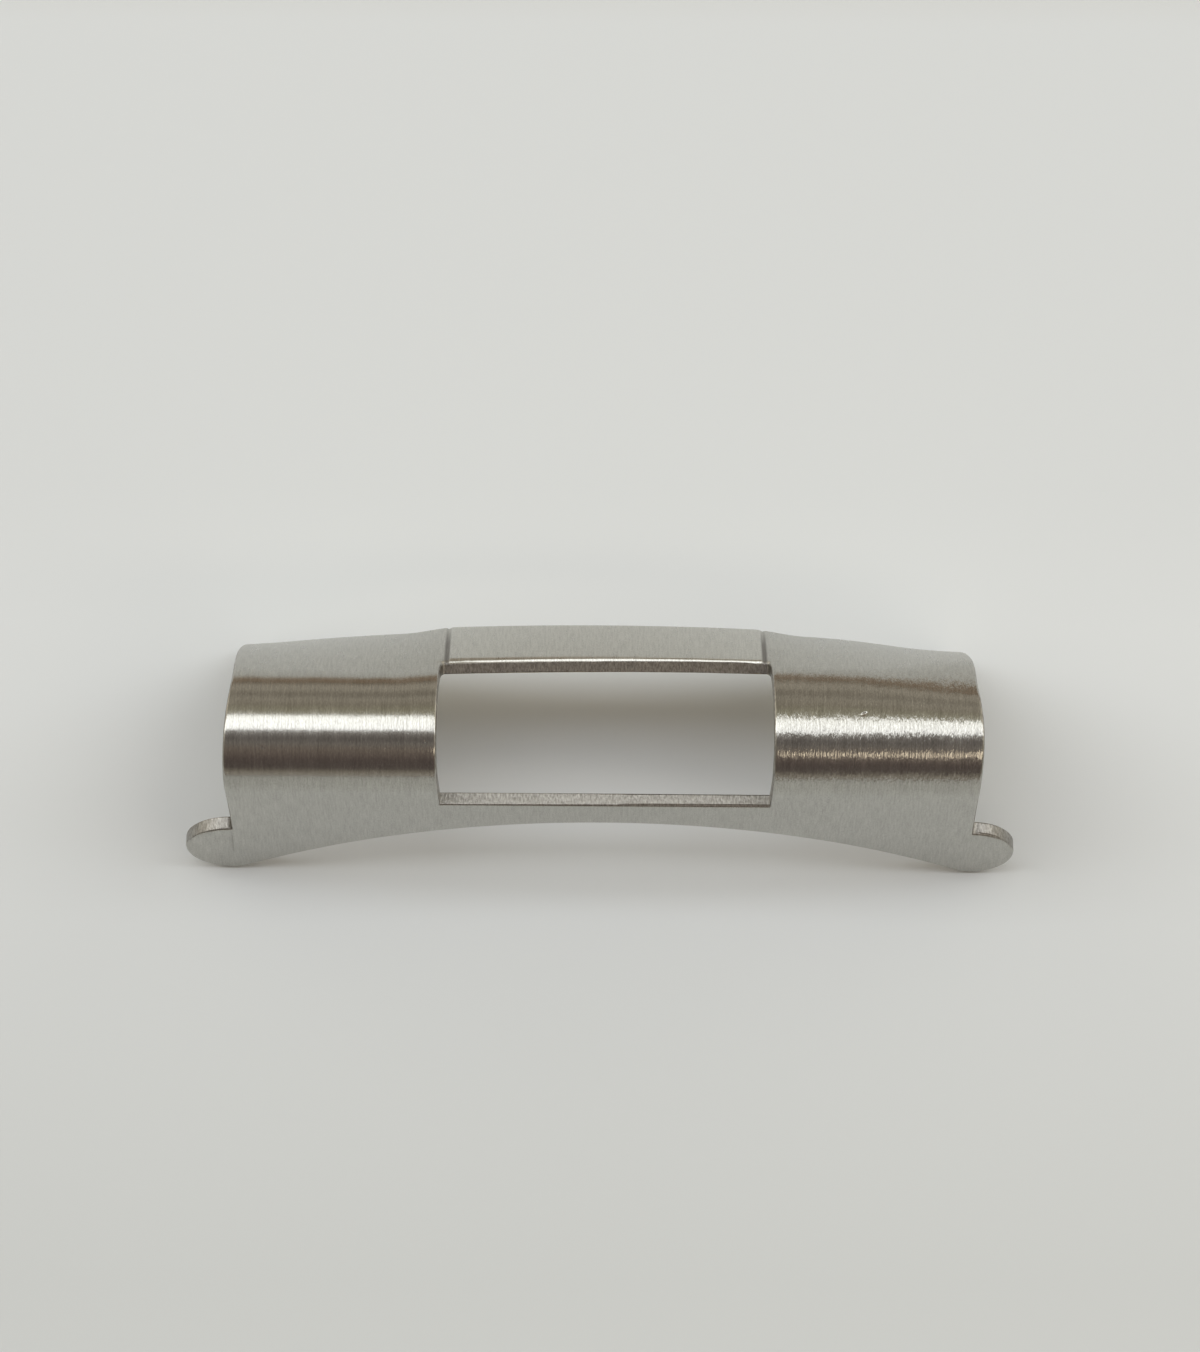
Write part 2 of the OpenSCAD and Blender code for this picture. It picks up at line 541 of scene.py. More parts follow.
    def worn_edge(self, distance: Array, x: Array, s: Array, mark: dict[str, Array]) -> Array:
        """Depth by which the outer face falls away at its edges.

        Every edge is rounded, apart from the window's upper one, which is bevelled. The bevel's upper end is
        eased: m (b - d + sqrt((b - d)^2 + k^2)) / 2 for a distance d, a bevel b, its slope m and softness k.

        Args:
            distance: Distance from the nearest cut edge.
            x: Places across the link.
            s: Lengths along the strip.
            mark: The profile's marks at those places.

        Returns:
            The depths.
        """
        short = self.burr - distance
        bevel = 0.5 * self.burr_slope * (short + np.sqrt(short**2 + self.burr_soft**2))
        near = np.abs(s - mark["window"]) < self.burr_held * self.burr
        at_top = near & (np.abs(x - self.window_shift) < self.window_x)
        return np.where(at_top, bevel, rounded_off(distance, self.outer_round, self.outer_round))

    def punched(self, x: Array, s: Array, mark: dict[str, Array]) -> Array:
        """Length by which the inner face reaches past the outer one, along the strip.

        It does so at the window's upper edge and falls short at the ears' upper edges, each by a bell curve
        along the strip and a smooth step across it.

        Args:
            x: Places across the link.
            s: Lengths along the strip.
            mark: The profile's marks at those places.

        Returns:
            The lengths.
        """
        inside = ease((self.window_x + self.slant_fade - np.abs(x - self.window_shift)) / self.slant_fade)
        by_side = ease((np.abs(x) - self.half_w + self.slant_fade) / self.slant_fade)
        at_window = bell((s - mark["window"]) / self.punch_len) * inside
        at_ear = bell((s - mark["notch"]) / self.ear_slant_len) * by_side
        return self.punch_slant * at_window - self.ear_slant * at_ear

    def engraved(self, x: Array, s: Array, mark: dict[str, Array]) -> Array:
        """Depth of the V grooves, which grow shallow in a straight line from the window to the case edge.

        Args:
            x: Places across the link.
            s: Lengths along the strip.
            mark: The profile's marks at those places.

        Returns:
            The depths.
        """
        across = np.abs(np.abs(x - self.window_shift) - self.groove_x) / (0.5 * self.groove_w)
        run = np.clip(s / mark["window"], 0.0, 1.0)
        deepest = self.groove_d * (self.groove_start + (1.0 - self.groove_start) * run)
        return np.where(s <= mark["window"] + TINY, deepest * np.clip(1.0 - across, 0.0, 1.0), 0.0)

    def point(self, x: Array, s: Array, depth: Array) -> Array:
        """The point at a place across, a length along and a depth under the outer face.

        Each arc has its radius less the depth, and the lower plate runs straight to its foot. The top
        plate's case edge is cut square to Z.

        Args:
            x: Places across the link.
            s: Lengths along the strip's outer face.
            depth: Depths under that face.

        Returns:
            Points with X, Y and Z on the last axis.
        """
        mark = self.marks(x)
        begin = self.plate_a(x)
        plate_y, plate_z, edge_a = self.crown(x, depth)
        turn = edge_a + (begin - edge_a) * np.clip(s / mark["plate"], 0.0, 1.0)
        y = plate_y + (self.plate_r - depth) * np.cos(turn)
        z = plate_z + (self.plate_r - depth) * np.sin(turn)
        for start, arc in zip((mark["plate"], mark["crease"], mark["flat"]), self.arcs(x)):
            turn = np.minimum(begin + (s - start) / arc.radius, arc.end)
            y = np.where(s > start, arc.y + (arc.radius - depth) * np.cos(turn), y)
            z = np.where(s > start, arc.z + (arc.radius - depth) * np.sin(turn), z)
            begin = arc.end
        down = np.clip((s - mark["roll"]) / (mark["case"] - mark["roll"]), 0.0, 1.0)
        fall = down * self.foot_v(x, depth)
        lean = math.radians(self.lower_lean)
        return np.stack([x, y - fall * math.sin(lean), z - fall * math.cos(lean)], axis=-1)


@dataclass(frozen=True)
class StripGrid:
    """The flat pattern of the strip: grid points in x and s, and the quads between them."""

    x: Array
    s: Array
    quads: Array


@dataclass(frozen=True)
class StripMesher:
    """Builds the closed shell of the strip from grids over its flat pattern."""

    strip: FoldedStrip
    # Columns: even steps on each side panel, places on each groove's zone and on the middle, and on an ear
    side_steps: int = 40
    groove_places: int = 43
    middle_places: int = 25
    ear_places: int = 13
    # Rows: even steps up to each mark and whether its first and last end are set close, and those of an ear
    zones: tuple[tuple[str, int, bool, bool], ...] = (
        ("window", 16, True, True), ("roll", 66, True, False),
        ("low", 5, False, True), ("notch", 9, True, True),
    )
    foot_places: int = 31
    # Where the pull towards the window's walls begins to ease off and over which length, the length of the
    # pull towards the sides, and where and over which length the window's shift to the right dies away
    window_pull: Pair = (0.05, 0.7)
    side_pull: float = 1.0
    shift_pull: Pair = (0.5, 3.0)
    # Rows on a cut edge, as shares of the sheet's thickness
    rim_shares: tuple[float, ...] = (0.05, 0.35, 0.65, 0.95)
    # Share of an edge's rounding that has the cut's finish
    cut_share: float = 0.5
    # Distance on the pattern up to which two points are one
    weld: float = 1e-5

    def columns(self) -> tuple[Array, int, int]:
        """Places across the link, before they are drawn to its sides.

        They are even on the side panels and in the middle, close-set by the walls, and fine at the grooves.

        Returns:
            The places, and the numbers of those at the window's two sides.
        """
        strip = self.strip
        side = spread(strip.half_w - strip.window_x, self.side_steps, strip.outer_round)[0]
        fine = np.linspace(0.0, 2.0 * (strip.window_x - strip.groove_x), self.groove_places)
        middle = np.linspace(-strip.window_x + fine[-1], strip.window_x - fine[-1], self.middle_places)
        inner = np.concatenate([-strip.window_x + fine, middle[1:-1], strip.window_x - fine[::-1]])
        x = np.concatenate([-strip.window_x - side[::-1], inner[1:-1], strip.window_x + side])
        return x, len(side) - 1, len(x) - len(side)

    def rows(self, x: Array) -> tuple[Array, tuple[int, int, int]]:
        """Lengths along the strip for each column.

        Below the notch they follow half a circle, (1 + sin a) / 2 with a in even steps, as the ears do.

        Args:
            x: Places across the link.

        Returns:
            The lengths, and the grid numbers of the window's upper edge, its lower edge and the ears' notch.
        """
        mark = self.strip.marks(x)
        start = np.zeros_like(x)
        lines = [start[:, None]]
        for name, count, first, last in self.zones:
            zone = spread(mark[name] - start, count, self.strip.outer_round, first, last)
            lines.append(start[:, None] + zone[:, 1:])
            start = mark[name]
        swing = np.radians(np.linspace(-90.0, 90.0, self.foot_places))[1:]
        foot = mark["case"] - start
        lines.append(start[:, None] + foot[:, None] * 0.5 * (1.0 + np.sin(swing))[None, :])
        last_row = np.cumsum([line.shape[1] for line in lines]) - 1
        return np.concatenate(lines, axis=1), (last_row[1], last_row[3], last_row[4])

    def body(self) -> tuple[StripGrid, int]:
        """The strip between its sides, with the window left open.

        The columns are drawn to the window's walls and to the sides, with a pull that eases off in between.

        Returns:
            The grid, and the row number at which the ears' notches lie.
        """
        strip = self.strip
        across, first, last = self.columns()
        s, (upper, lower, notch) = self.rows(across)
        x = np.repeat(across[:, None], s.shape[1], axis=1)
        mark = {name: value[:, None] for name, value in strip.marks(across).items()}
        past_window = np.abs(x) - strip.window_x
        near_window = 1.0 - ease((np.abs(past_window) - self.window_pull[0]) / self.window_pull[1])
        near_side = ease((np.abs(x) - strip.half_w + self.side_pull) / self.side_pull)
        to_wall = (strip.window_wall(s, mark) - strip.window_x) * near_window
        drawn = np.abs(x) + to_wall - strip.side_wall(x, s, mark) * near_side
        shifted = strip.window_shift * (1.0 - ease((past_window - self.shift_pull[0]) / self.shift_pull[1]))
        x = np.sign(x) * drawn + shifted
        quads = cells(*x.shape)
        keep = np.ones(quads.shape[:2], bool)
        keep[first:last, upper:lower] = False
        return StripGrid(x.ravel(), s.ravel(), quads[keep]), notch

    def ear(self, side: float, notch: int) -> StripGrid:
        """An ear: the part of its disc beyond the side, in rows that go on from the lower plate's.

        The grid is x = half width + reach times chord times u, where the chord is the half circle's at that
        length, and u goes from 0 to 1 outwards.

        Args:
            side: 1 for the right ear and -1 for the left one.
            notch: Row at which the ear starts.

        Returns:
            The ear's grid.
        """
        strip = self.strip
        s_line = self.rows(np.array([side * strip.half_w]))[0][0, notch:]
        across = 2.0 * (s_line - s_line[0]) / np.ptp(s_line) - 1.0
        chord = np.sqrt(np.clip(1.0 - across**2, 0.0, 1.0))
        u = np.sin(np.radians(np.linspace(0.0, 90.0, self.ear_places)))
        reach = strip.ear_reach - side * strip.ear_shift
        x = side * (strip.half_w + reach * u[:, None] * chord[None, :])
        s = np.repeat(s_line[None, :], len(u), axis=0)
        quads = cells(*x.shape).reshape(-1, 4)
        return StripGrid(x.ravel(), s.ravel(), quads if side > 0.0 else quads[:, ::-1])

    def pattern(self) -> StripGrid:
        """Joins the body and both ears into one flat pattern, with the points that they share welded.

        Returns:
            The whole pattern.
        """
        body, notch = self.body()
        grids = [body, self.ear(1.0, notch), self.ear(-1.0, notch)]
        x = np.concatenate([grid.x for grid in grids])
        s = np.concatenate([grid.s for grid in grids])
        offsets = np.cumsum([0] + [len(grid.x) for grid in grids[:-1]])
        quads = np.concatenate([grid.quads + offset for grid, offset in zip(grids, offsets)])
        key = np.round(np.stack([x, s], axis=1) / self.weld).astype(np.int64)
        _, first, inverse = np.unique(key, axis=0, return_index=True, return_inverse=True)
        return StripGrid(x[first], s[first], inverse.reshape(-1)[quads])

    def edge_distance(self, x: Array, s: Array, mark: dict[str, Array]) -> Array:
        """Distance of each point of the pattern from the nearest cut edge.

        The edges are the two case edges, the sides down to the notch, the notch's corner, the ears' discs
        and the window, each with its own formula, and the least one counts.

        Args:
            x: Places across the link.
            s: Lengths along the strip.
            mark: The profile's marks at those places.

        Returns:
            The distances.
        """
        strip = self.strip
        over = np.abs(x) - strip.half_w
        aside = np.maximum(0.0, np.abs(x - strip.window_shift) - strip.window_wall(s, mark))
        beyond = np.maximum(0.0, mark["window"] - s) + np.maximum(0.0, s - mark["low"])
        window = np.hypot(aside, beyond)
        corner = np.hypot(over, s - mark["notch"])
        side = np.where(s <= mark["notch"], -over - strip.side_wall(x, s, mark), np.inf)
        half = 0.5 * (mark["case"] - mark["notch"])
        middle = 0.5 * (mark["case"] + mark["notch"])
        reach = strip.ear_reach - np.sign(x) * strip.ear_shift
        disc = (1.0 - np.hypot(np.maximum(over, 0.0) / reach, (s - middle) / half)) * half
        body = np.minimum(np.minimum(s, mark["case"] - s), np.minimum(side, corner))
        on_ear = (over > TINY) & (s > mark["notch"] - TINY)
        least = np.where(on_ear, np.minimum(disc, corner), np.minimum(body, window))
        return np.maximum(least, 0.0)

    def build(self, name: str) -> bpy.types.Object:
        """Makes the closed shell: outer face, inner face and the cut edges between them.

        The points of a cut edge lie on straight lines from the outer to the inner face.

        Args:
            name: The object's name.

        Returns:
            The object, at the origin, in metres.
        """
        strip, grid = self.strip, self.pattern()
        count = len(grid.x)
        mark = strip.marks(grid.x)
        distance = self.edge_distance(grid.x, grid.s, mark)
        outer_depth = strip.worn_edge(distance, grid.x, grid.s, mark) + strip.engraved(grid.x, grid.s, mark)
        inner_depth = strip.sheet_t - rounded_off(distance, strip.inner_round, strip.inner_round)
        outer = strip.point(grid.x, grid.s, outer_depth)
        inner = strip.point(grid.x, grid.s + strip.punched(grid.x, grid.s, mark), inner_depth)
        rim = boundary(grid.quads)
        at_rim, places = np.unique(rim, return_inverse=True)
        places = places.reshape(rim.shape)
        rings = [at_rim]
        points = [outer, inner]
        for number, share in enumerate(self.rim_shares):
            rings.append(2 * count + number * len(at_rim) + np.arange(len(at_rim)))
            points.append(outer[at_rim] + share * (inner[at_rim] - outer[at_rim]))
        rings.append(at_rim + count)
        rim_quads = [
            np.stack([upper[places[:, 0]], upper[places[:, 1]], lower[places[:, 1]], lower[places[:, 0]]], 1)
            for upper, lower in zip(rings[:-1], rings[1:])
        ]
        faces = np.concatenate([grid.quads[:, ::-1], grid.quads + count] + rim_quads)
        brushed = np.abs(grid.s - mark["window"]) < strip.burr_brushed * strip.burr
        torn = (distance < self.cut_share * strip.outer_round) & ~brushed
        cut = torn[grid.quads].sum(axis=1) >= 3
        outer_slot = np.where(cut, Face.CUT.value, Face.SHEET.value)
        inner_slot = np.where(cut, Face.CUT.value, Face.INNER.value)
        rim_slot = np.full(len(rim) * len(rim_quads), Face.CUT.value)
        slots = np.concatenate([outer_slot, inner_slot, rim_slot]).astype(np.int32)
        flat = np.stack([grid.x, grid.s], axis=1)
        flats = [flat, flat] + [flat[at_rim]] * len(self.rim_shares)
        return new_mesh(name, np.concatenate(points), faces, slots, np.concatenate(flats))


def new_object(name: str, data: bpy.types.ID) -> bpy.types.Object:
    """Makes an object and links it to the scene.

    Args:
        name: The object's name.
        data: Its mesh, lamp or camera.

    Returns:
        The object.
    """
    obj = bpy.data.objects.new(name, data)
    bpy.context.scene.collection.objects.link(obj)
    return obj


def new_mesh(name: str, points: Array, faces: Array, slots: Array, flat: Array) -> bpy.types.Object:
    """Puts arrays into a smooth mesh with a UV map, in metres, and links its object.

    Args:
        name: The object's name.
        points: Points in millimetres.
        faces: Four point numbers a face, where a repeated number makes a triangle.
        slots: Material slot of each face.
        flat: Place of each point on the flat pattern in millimetres, which becomes the UV map.

    Returns:
        The object.
    """
    corners = [list(dict.fromkeys(face)) for face in faces.tolist()]
    whole = [len(corner) > 2 for corner in corners]
    mesh = bpy.data.meshes.new(name)
    kept = [corner for corner, keep in zip(corners, whole) if keep]
    mesh.from_pydata((points * MM).tolist(), [], kept)
    mesh.polygons.foreach_set("material_index", slots[np.array(whole)])
    mesh.polygons.foreach_set("use_smooth", np.ones(len(kept), bool))
    layer = mesh.uv_layers.new(name="strip")
    loops = np.empty(len(mesh.loops), np.int32)
    mesh.loops.foreach_get("vertex_index", loops)
    layer.data.foreach_set("uv", flat[loops].astype(np.float32).ravel())
    mesh.validate()
    mesh.update()
    return new_object(name, mesh)


def add_node(owner: Owner, kind: str, **settings: Any) -> bpy.types.Node:
    """Adds a shader node, sets its properties and inputs, and links the inputs that come from other nodes.

    A name in small letters is a property of the node, and it comes first, because it decides which inputs
    there are. A capitalised name is an input's, with _ for a space, and i0, i1 and i2 are inputs by number.

    Args:
        owner: The material, or the world, that gets the node.
        kind: The node's type, without the leading ShaderNode.
        **settings: Properties, and inputs as plain values, sockets or nodes. A node stands for the first of
            its outputs that is in use.

    Returns:
        The new node.
    """
    tree = owner.node_tree
    node = tree.nodes.new("ShaderNode" + kind)
    for name, value in settings.items():
        numbered = name[1:].isdigit()
        if name.islower() and not numbered:
            setattr(node, name, value)
            continue
        socket = node.inputs[int(name[1:])] if numbered else node.inputs[name.replace("_", " ")]
        if isinstance(value, bpy.types.Node):
            value = next(output for output in value.outputs if output.enabled)
        if isinstance(value, bpy.types.NodeSocket):
            tree.links.new(value, socket)
        else:
            socket.default_value = value
    return node


def tones_along(owner: Owner, value: Source, stops: Tones) -> bpy.types.Node:
    """Adds colours that run through stops along a value.

    Args:
        owner: The material, or the world, that gets the nodes.
        value: What the colours run along.
        stops: Values in rising order, each with its sRGB hex colour.

    Returns:
        The node that gives the colour.
    """
    first, last = stops[0][0], stops[-1][0]
    share = add_node(owner, "MapRange", Value=value, From_Min=first, From_Max=last)
    ramp = add_node(owner, "ValToRGB", Fac=share)
    elements = ramp.color_ramp.elements
    elements.remove(elements[-1])
    elements[0].color = linear(stops[0][1])
    for place, colour in stops[1:]:
        elements.new((place - first) / (last - first)).color = linear(colour)
    return ramp


def blank_material(name: str) -> bpy.types.Material:
    """Makes a node material with nothing in its tree.

    Args:
        name: The material's name.

    Returns:
        The material.
    """
    material = bpy.data.materials.new(name)
    material.use_nodes = True
    material.node_tree.nodes.clear()
    return material


@dataclass(frozen=True)
class Speckle:
    """A noise pattern: the real size of its features in millimetres, and the height that they give a face.

    A pattern on the flat sheet has no third direction, and its size there is 1.
    """

    size: tuple[float, float, float]
    height: float = 0.0
    detail: float = 2.0
    roughness: float = 0.6
    turn: float = 0.0

    def add(self, m: bpy.types.Material, place: Source, unit: float = 1.0) -> bpy.types.Node:
        """Adds the pattern, from 0 to 1: the place is divided by the features' size.

        Args:
            m: The material.
            place: The place on the piece.
            unit: A millimetre in the place's own unit.

        Returns:
            The noise's node.
        """
        turn = (0.0, 0.0, math.radians(self.turn))
        scale = tuple(1.0 / (length * unit) for length in self.size)
        scaled = add_node(m, "Mapping", Vector=place, Rotation=turn, Scale=scale)
        return add_node(
            m, "TexNoise", Vector=scaled, Scale=1.0, Detail=self.detail, Roughness=self.roughness
        )


@dataclass(frozen=True)
class Mark:
    """A small dent or scuff on the outer face: its place, half sizes and height, in millimetres."""

    x: float
    s: float
    half_x: float
    half_s: float
    height: float

    def add(self, m: bpy.types.Material, uv: Source) -> bpy.types.Node:
        """Adds the mark's height in millimetres: a smooth step down from its middle to its rim.

        Args:
            m: The material.
            uv: The place on the flat pattern.

        Returns:
            The node that gives the height.
        """
        place = add_node(
            m, "Mapping", vector_type="TEXTURE", Vector=uv, Location=(self.x, self.s, 0.0),
            Scale=(self.half_x, self.half_s, 1.0),
        )
        reach = add_node(m, "VectorMath", operation="LENGTH", i0=place)
        return add_node(
            m, "MapRange", interpolation_type="SMOOTHSTEP", Value=reach, To_Min=self.height, To_Max=0.0
        )


@dataclass(frozen=True)
class BrushedStainless:
    """Stainless steel sheet, brushed along the strap with a fine abrasive belt.

    To the eye, the scratches run along s and spread each lamp's light across them into a soft band, whose
    ends fray into fine lines, and there is no mirror image. The plates look satin, and the roll, which the
    press burnished, looks brighter. The right-hand side was brushed harder than the left, and dirt is left
    in the grooves.
    """

    strip: FoldedStrip
    name: str
    colour: str = "c8c6bf"
    dark: str = "989690"
    dirt: str = "8c8a88"
    roughness: float = 0.19
    plate_roughness: float = 0.29
    anisotropy: float = 0.5
    # A real scratch is about 0.01 mm wide, and a pixel of the frame is 0.027 mm, so streak, pit and grain
    # are drawn as coarse as they need to be to show, and their heights go with that
    streak: Speckle = Speckle((0.05, 0.6, 1.0), height=0.0035, detail=3.0)
    pit: Speckle = Speckle((0.07, 0.26, 1.0), height=0.0048)
    grain: Speckle = Speckle((0.028, 0.09, 1.0))
    cloud: Speckle = Speckle((0.3, 1.6, 1.0), detail=3.0)
    # Weights of the fine patterns and of the clouds in the tone, the range that they fill, what the clouds
    # add to the roughness, and a painted sheen that lightens the centre panel's tone, standing in for the
    # brighter reflection that it catches
    fine_tone: float = 0.42
    cloud_tone: float = 0.16
    tone_range: Pair = (0.3, 0.7)
    cloud_roughness: float = 0.03
    centre_painted_sheen: float = 0.3
    # How hard the belt was pressed, at the same distance left and right of the middle
    pressed_x: float = 8.0
    pressed: Pair = (0.4, 2.7)
    # Heights over the bar's axis between which the roll's finish turns into the plate's
    satin_y: Pair = (1.25, 1.9)
    # Dirt: where it fades out, in groove widths from a groove's middle, its share at the case edge and at a
    # length along the groove, and the roughness that it adds
    dirt_fade: Pair = (0.2, 0.55)
    dirt_share: Pair = (0.15, 0.8)
    dirt_len: float = 1.4
    dirt_roughness: float = 0.4
    marks: tuple[Mark, ...] = (
        Mark(6.9, 5.55, 0.11, 0.07, -0.03),
        Mark(-9.0, 7.54, 0.12, 0.04, -0.005),
        Mark(-8.5, 7.24, 0.05, 0.04, -0.005),
        Mark(-4.7, 5.7, 0.06, 0.05, -0.006),
    )

    def top_masks(self, m: bpy.types.Material, uv: Source) -> tuple[bpy.types.Node, bpy.types.Node]:
        """Adds two masks on the top plate: the dirt in its grooves, and the panel between them.

        Args:
            m: The material.
            uv: The place on the flat pattern.

        Returns:
            The nodes that give the share of dirt, and 1 on the panel.
        """
        strip = self.strip
        split = add_node(m, "SeparateXYZ", Vector=uv).outputs
        moved = add_node(m, "Math", operation="SUBTRACT", i0=split["X"], i1=strip.window_shift)
        aside = add_node(m, "Math", operation="ABSOLUTE", i0=moved)
        # This length lies between the window's two edges, so it parts the top plate from the lower one
        on_top = add_node(m, "Math", operation="LESS_THAN", i0=split["Y"], i1=strip.edge_h)
        # The panel between the grooves is the mask for the painted sheen on the centre panel
        between = add_node(m, "Math", operation="LESS_THAN", i0=aside, i1=strip.groove_x)
        panel = add_node(m, "Math", operation="MULTIPLY", i0=between, i1=on_top)
        off_groove = add_node(m, "Math", operation="SUBTRACT", i0=aside, i1=strip.groove_x)
        inside = add_node(
            m, "MapRange", interpolation_type="SMOOTHSTEP",
            Value=add_node(m, "Math", operation="ABSOLUTE", i0=off_groove),
            From_Min=self.dirt_fade[0] * strip.groove_w, From_Max=self.dirt_fade[1] * strip.groove_w,
            To_Min=1.0, To_Max=0.0,
        )
        grown = add_node(
            m, "MapRange", Value=split["Y"], From_Max=self.dirt_len, To_Min=self.dirt_share[0],
            To_Max=self.dirt_share[1],
        )
        dirt = add_node(m, "Math", operation="MULTIPLY", i0=inside, i1=on_top)
        return add_node(m, "Math", operation="MULTIPLY", i0=dirt, i1=grown), panel

    def relief(self, m: bpy.types.Material, uv: Source, streak: bpy.types.Node) -> bpy.types.Node:
        """Adds the height of scratches, pits and marks in millimetres.

        Scratches and pits are deeper where the belt was pressed harder.

        Args:
            m: The material.
            uv: The place on the flat pattern.
            streak: The scratches' pattern.

        Returns:
            The node that gives the height.
        """
        softest, hardest = self.pressed
        pressed = add_node(
            m, "MapRange", Value=add_node(m, "SeparateXYZ", Vector=uv).outputs["X"],
            From_Min=-self.pressed_x, From_Max=self.pressed_x, To_Min=softest, To_Max=hardest,
        )
        fine = add_node(m, "Math", operation="MULTIPLY", i0=streak, i1=self.streak.height)
        pits = self.pit.add(m, uv)
        both = add_node(m, "Math", operation="MULTIPLY_ADD", i0=pits, i1=self.pit.height, i2=fine)
        height = add_node(m, "Math", operation="MULTIPLY", i0=both, i1=pressed)
        for mark in self.marks:
            height = add_node(m, "Math", operation="ADD", i0=height, i1=mark.add(m, uv))
        return height

    def material(self) -> bpy.types.Material:
        """Makes the material.

        Returns:
            The material, whose patterns read the flat pattern's UV map.
        """
        m = blank_material(self.name)
        uv = add_node(m, "UVMap", uv_map="strip")
        streak, grain, cloud = (pattern.add(m, uv) for pattern in (self.streak, self.grain, self.cloud))
        dirt, panel = self.top_masks(m, uv)
        low, high = self.tone_range
        both = add_node(m, "Math", operation="ADD", i0=streak, i1=grain)
        fine = add_node(m, "Math", operation="MULTIPLY", i0=both, i1=self.fine_tone)
        share = add_node(m, "Math", operation="MULTIPLY_ADD", i0=cloud, i1=self.cloud_tone, i2=fine)
        share = add_node(m, "MapRange", Value=share, From_Min=low, From_Max=high)
        # Painted sheen: the centre panel's tone is lifted to stand in for the brighter reflection it catches
        share = add_node(m, "Math", operation="MULTIPLY_ADD", i0=panel, i1=self.centre_painted_sheen, i2=share)
        dark, bright = linear(self.dark), linear(self.colour)
        steel = add_node(m, "Mix", data_type="RGBA", Factor=share, A=dark, B=bright)
        base = add_node(m, "Mix", data_type="RGBA", Factor=dirt, A=steel, B=linear(self.dirt))
        rough = add_node(
            m, "MapRange", Value=cloud, From_Min=low, From_Max=high,
            To_Min=self.roughness - self.cloud_roughness, To_Max=self.roughness + self.cloud_roughness,
        )
        place = add_node(m, "TexCoord").outputs["Object"]
        satin = add_node(
            m, "MapRange", interpolation_type="SMOOTHSTEP",
            Value=add_node(m, "SeparateXYZ", Vector=place).outputs["Y"],
            From_Min=self.satin_y[0] * MM, From_Max=self.satin_y[1] * MM,
            To_Max=self.plate_roughness - self.roughness,
        )
        rough = add_node(m, "Math", operation="ADD", i0=rough, i1=satin)
        rough = add_node(m, "Math", operation="MULTIPLY_ADD", i0=dirt, i1=self.dirt_roughness, i2=rough)
        shader = add_node(
            m, "BsdfPrincipled", Base_Color=base, Metallic=1.0, Roughness=rough, Anisotropic=self.anisotropy,
            Normal=add_node(m, "Bump", Height=self.relief(m, uv, streak), Strength=1.0, Distance=MM),
            Tangent=add_node(m, "Tangent", direction_type="UV_MAP", uv_map="strip"),
        )
        add_node(m, "OutputMaterial", Surface=shader)
        return m


@dataclass(frozen=True)
class CutEdge:
    """The sheet's punched and filed edges: torn stainless steel with scratches through its thickness.

    To the eye they are a pale, dull grey with a little sparkle, unlike the brushed faces beside them. The
    scratches are drawn several times their real width, which is finer than a pixel.
    """

    colour: str = "aeaba5"
    dark: str = "85827d"
    roughness: float = 0.38
    scratch: Speckle = Speckle((0.05, 0.12, 0.12), height=0.015, detail=3.0, roughness=0.65, turn=25.0)
    tone_range: Pair = (0.35, 0.65)

    def material(self) -> bpy.types.Material:
        """Makes the material.

        Returns:
            The material, whose pattern reads object coordinates.
        """
        m = blank_material("cut_edge_stainless")
        torn = self.scratch.add(m, add_node(m, "TexCoord").outputs["Object"], MM)
        share = add_node(m, "MapRange", Value=torn, From_Min=self.tone_range[0], From_Max=self.tone_range[1])
        dark, bright = linear(self.dark), linear(self.colour)
        steel = add_node(m, "Mix", data_type="RGBA", Factor=share, A=dark, B=bright)
        bump = add_node(m, "Bump", Height=torn, Strength=1.0, Distance=self.scratch.height * MM)
        shader = add_node(
            m, "BsdfPrincipled", Base_Color=steel, Metallic=1.0, Roughness=self.roughness, Normal=bump
        )
        add_node(m, "OutputMaterial", Surface=shader)
        return m


@dataclass(frozen=True)
class EndLink:
    """The end link: one folded strip that stands for every CAD node."""

    strip: FoldedStrip

    def build(self) -> list[bpy.types.Object]:
        """Builds the strip, dresses it and places it on the frame's body.

        Returns:
            The strip's object.
        """
        link = StripMesher(self.strip).build("folded_strip")
        # The inside keeps the same brushing, but its colour is painted darker and browner: a painted shade
        # that its bounced light carries onto the floor seen through the window
        inside = BrushedStainless(self.strip, "inside_painted_shade", colour="ab9d86", dark="867a66", marks=())
        finishes = {
            Face.SHEET: BrushedStainless(self.strip, "brushed_stainless"),
            Face.CUT: CutEdge(),
            Face.INNER: inside,
        }
        for face in Face:
            link.data.materials.append(finishes[face].material())
        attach(link, "root")
        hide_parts(*sorted(frame["nodes"]))
        return [link]


@dataclass(frozen=True)
class Tabletop:
    """A flat sheet under the link, with its height and its left, right, near and far edge in metres.

    Its tones run along Y, through stops in millimetres.
    """

    name: str
    height: float
    edges: tuple[float, float, float, float]
    tones: Tones
    roughness: float = 0.8

    def build(self) -> bpy.types.Object:
        """Builds the sheet.

        Returns:
            The sheet's object.
        """
        left, right, near, far = self.edges
        corners = [(x, y, self.height) for x, y in ((left, near), (right, near), (right, far), (left, far))]
        mesh = bpy.data.meshes.new(self.name)
        mesh.from_pydata(corners, [], [(0, 1, 2, 3)])
        m = blank_material(self.name)
        place = add_node(m, "TexCoord").outputs["Object"]
        along = add_node(m, "SeparateXYZ", Vector=place).outputs["Y"]
        tone = tones_along(m, along, tuple((y * MM, colour) for y, colour in self.tones))
        shader = add_node(m, "BsdfPrincipled", Base_Color=tone, Roughness=self.roughness)
        add_node(m, "OutputMaterial", Surface=shader)
        mesh.materials.append(m)
        obj = new_object(self.name, mesh)
        return obj


